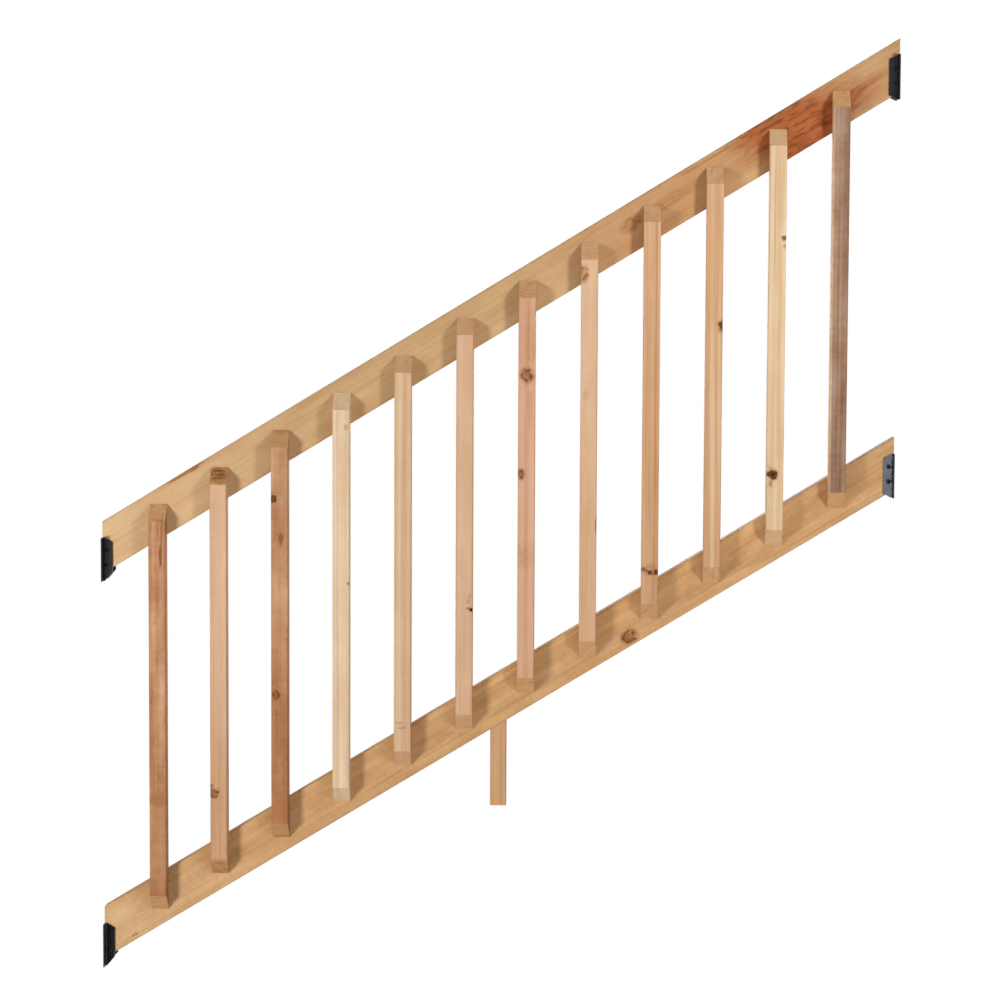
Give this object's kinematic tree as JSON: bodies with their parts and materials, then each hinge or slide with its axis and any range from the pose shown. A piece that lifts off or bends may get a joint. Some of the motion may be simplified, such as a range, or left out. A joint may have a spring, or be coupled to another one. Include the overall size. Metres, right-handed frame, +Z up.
{
  "type": "stair balustrade panel",
  "caption": "Raking wooden stair railing panel: two sloped rails with square bevelled balusters screwed to their front, a mid support block and steel angle brackets for the posts.",
  "frame": {"origin": "middle of the post leg of the front bracket at the bottom rail's lower end, on the face that lies against the post", "axes": "+X runs up the stair, square to the posts; +Z is up; the balusters are on the -Y side"},
  "size_m": [1.561, 0.092, 1.8468],
  "materials": {
    "cedar rail": "planed, unfinished",
    "cedar baluster": "planed, unfinished",
    "cedar block": "planed, unfinished",
    "black bracket": "satin powder coat"
  },
  "bodies": {
    "root": {"bottom_rail": "cedar rail", "top_rail": "cedar rail", "baluster_01": "cedar baluster", "baluster_02": "cedar baluster", "baluster_03": "cedar baluster", "baluster_04": "cedar baluster", "baluster_05": "cedar baluster", "baluster_06": "cedar baluster", "baluster_07": "cedar baluster", "baluster_08": "cedar baluster", "baluster_09": "cedar baluster", "baluster_10": "cedar baluster", "baluster_11": "cedar baluster", "baluster_12": "cedar baluster", "support_block": "cedar block", "bottom_rail_bracket_lower_front": "black bracket", "bottom_rail_bracket_lower_back": "black bracket", "bottom_rail_bracket_upper_front": "black bracket", "bottom_rail_bracket_upper_back": "black bracket", "top_rail_bracket_lower_front": "black bracket", "top_rail_bracket_lower_back": "black bracket", "top_rail_bracket_upper_front": "black bracket", "top_rail_bracket_upper_back": "black bracket"}
  },
  "joints": []
}
